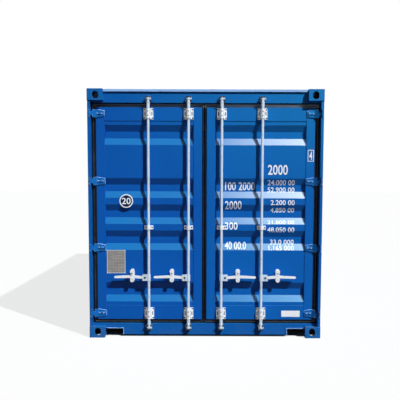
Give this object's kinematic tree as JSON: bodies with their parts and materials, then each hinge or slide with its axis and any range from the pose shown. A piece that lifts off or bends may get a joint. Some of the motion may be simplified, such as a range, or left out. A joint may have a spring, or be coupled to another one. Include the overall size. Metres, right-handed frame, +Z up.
{
  "type": "shipping container",
  "caption": "Steel dry freight container with corrugated walls and roof, double doors, turning locking bars with cams, lifting handles, corner castings and fork pockets.",
  "frame": {"origin": "middle of the footprint on the ground, under the lower corner castings", "axes": "+Z up, +Y along the box away from the doors, +X to the right of someone who looks at the doors"},
  "size_m": [2.438, 6.058, 2.591],
  "materials": {
    "casting_paint": "semi-gloss paint over cast steel, chipped edges",
    "frame_paint": "semi-gloss paint",
    "wall_paint": "semi-gloss paint",
    "door_paint": "semi-gloss paint",
    "roof_paint": "weathered paint",
    "under_paint": "dark underbody coating",
    "galvanised_steel": "hot-dip galvanised, dull",
    "gasket_rubber": "matt rubber",
    "floor_plywood": "sealed plywood",
    "vent_plastic": "moulded, painted over"
  },
  "bodies": {
    "container": {"upper_corner_castings": "casting_paint", "lower_corner_castings": "casting_paint", "door_posts": "frame_paint", "door_header": "frame_paint", "door_sill": "frame_paint", "cam_keepers": "galvanised_steel", "hinge_lugs": "frame_paint", "front_posts": "frame_paint", "front_header": "frame_paint", "front_sill": "frame_paint", "front_wall": "wall_paint", "top_side_rails": "frame_paint", "bottom_side_rails": "frame_paint", "right_side_wall": "wall_paint", "left_side_wall": "wall_paint", "roof_panel": "roof_paint", "roof_corner_plates": "roof_paint", "cross_members": "under_paint", "fork_pockets": "under_paint", "floor_boards": "floor_plywood", "ventilators": "vent_plastic"},
    "right_door": {"right_door_frame": "door_paint", "right_door_panel": "door_paint", "right_door_gasket": "gasket_rubber", "right_hinge_blades": "door_paint", "right_bar_brackets": "galvanised_steel", "right_handle_retainers": "galvanised_steel"},
    "right_outer_locking_bar": {"right_outer_locking_bar": "galvanised_steel"},
    "right_outer_handle": {"right_outer_handle": "galvanised_steel"},
    "right_outer_catch": {"right_outer_catch": "galvanised_steel"},
    "right_inner_locking_bar": {"right_inner_locking_bar": "galvanised_steel"},
    "right_inner_handle": {"right_inner_handle": "galvanised_steel"},
    "right_inner_catch": {"right_inner_catch": "galvanised_steel"},
    "left_door": {"left_door_frame": "door_paint", "left_door_panel": "door_paint", "left_door_gasket": "gasket_rubber", "left_hinge_blades": "door_paint", "left_bar_brackets": "galvanised_steel", "left_handle_retainers": "galvanised_steel"},
    "left_outer_locking_bar": {"left_outer_locking_bar": "galvanised_steel"},
    "left_outer_handle": {"left_outer_handle": "galvanised_steel"},
    "left_outer_catch": {"left_outer_catch": "galvanised_steel"},
    "left_inner_locking_bar": {"left_inner_locking_bar": "galvanised_steel"},
    "left_inner_handle": {"left_inner_handle": "galvanised_steel"},
    "left_inner_catch": {"left_inner_catch": "galvanised_steel"}
  },
  "joints": [
    {"name": "left_door_hinge", "type": "hinge", "parent": "container", "child": "left_door", "pos_m": [-1.204, -3.014, 1.298], "axis": [0, 0, 1], "range_deg": [-265, 0]},
    {"name": "left_outer_locking_bar_turn", "type": "hinge", "parent": "left_door", "child": "left_outer_locking_bar", "pos_m": [-0.592, -3.004, 1.3], "axis": [0, 0, 1], "range_deg": [0, 100]},
    {"name": "left_outer_handle_lift", "type": "hinge", "parent": "left_outer_locking_bar", "child": "left_outer_handle", "pos_m": [-0.632, -3.006, 0.638], "axis": [0, 1, 0], "range_deg": [0, 8]},
    {"name": "left_outer_catch_turn", "type": "hinge", "parent": "left_door", "child": "left_outer_catch", "pos_m": [-0.767, -3.024, 0.685], "axis": [0, 1, 0], "range_deg": [0, 180]},
    {"name": "left_inner_locking_bar_turn", "type": "hinge", "parent": "left_door", "child": "left_inner_locking_bar", "pos_m": [-0.176, -3.004, 1.3], "axis": [0, 0, 1], "range_deg": [0, 100]},
    {"name": "left_inner_handle_lift", "type": "hinge", "parent": "left_inner_locking_bar", "child": "left_inner_handle", "pos_m": [-0.216, -3.006, 0.638], "axis": [0, 1, 0], "range_deg": [0, 8]},
    {"name": "left_inner_catch_turn", "type": "hinge", "parent": "left_door", "child": "left_inner_catch", "pos_m": [-0.351, -3.024, 0.685], "axis": [0, 1, 0], "range_deg": [0, 180]},
    {"name": "right_door_hinge", "type": "hinge", "parent": "container", "child": "right_door", "pos_m": [1.204, -3.014, 1.298], "axis": [0, 0, -1], "range_deg": [-265, 0]},
    {"name": "right_outer_locking_bar_turn", "type": "hinge", "parent": "right_door", "child": "right_outer_locking_bar", "pos_m": [0.588, -3.004, 1.3], "axis": [0, 0, -1], "range_deg": [0, 100]},
    {"name": "right_outer_handle_lift", "type": "hinge", "parent": "right_outer_locking_bar", "child": "right_outer_handle", "pos_m": [0.628, -3.006, 0.638], "axis": [0, -1, 0], "range_deg": [0, 8]},
    {"name": "right_outer_catch_turn", "type": "hinge", "parent": "right_door", "child": "right_outer_catch", "pos_m": [0.763, -3.024, 0.685], "axis": [0, -1, 0], "range_deg": [0, 180]},
    {"name": "right_inner_locking_bar_turn", "type": "hinge", "parent": "right_door", "child": "right_inner_locking_bar", "pos_m": [0.168, -3.004, 1.3], "axis": [0, 0, -1], "range_deg": [0, 100]},
    {"name": "right_inner_handle_lift", "type": "hinge", "parent": "right_inner_locking_bar", "child": "right_inner_handle", "pos_m": [0.208, -3.006, 0.638], "axis": [0, -1, 0], "range_deg": [0, 8]},
    {"name": "right_inner_catch_turn", "type": "hinge", "parent": "right_door", "child": "right_inner_catch", "pos_m": [0.343, -3.024, 0.685], "axis": [0, -1, 0], "range_deg": [0, 180]}
  ]
}
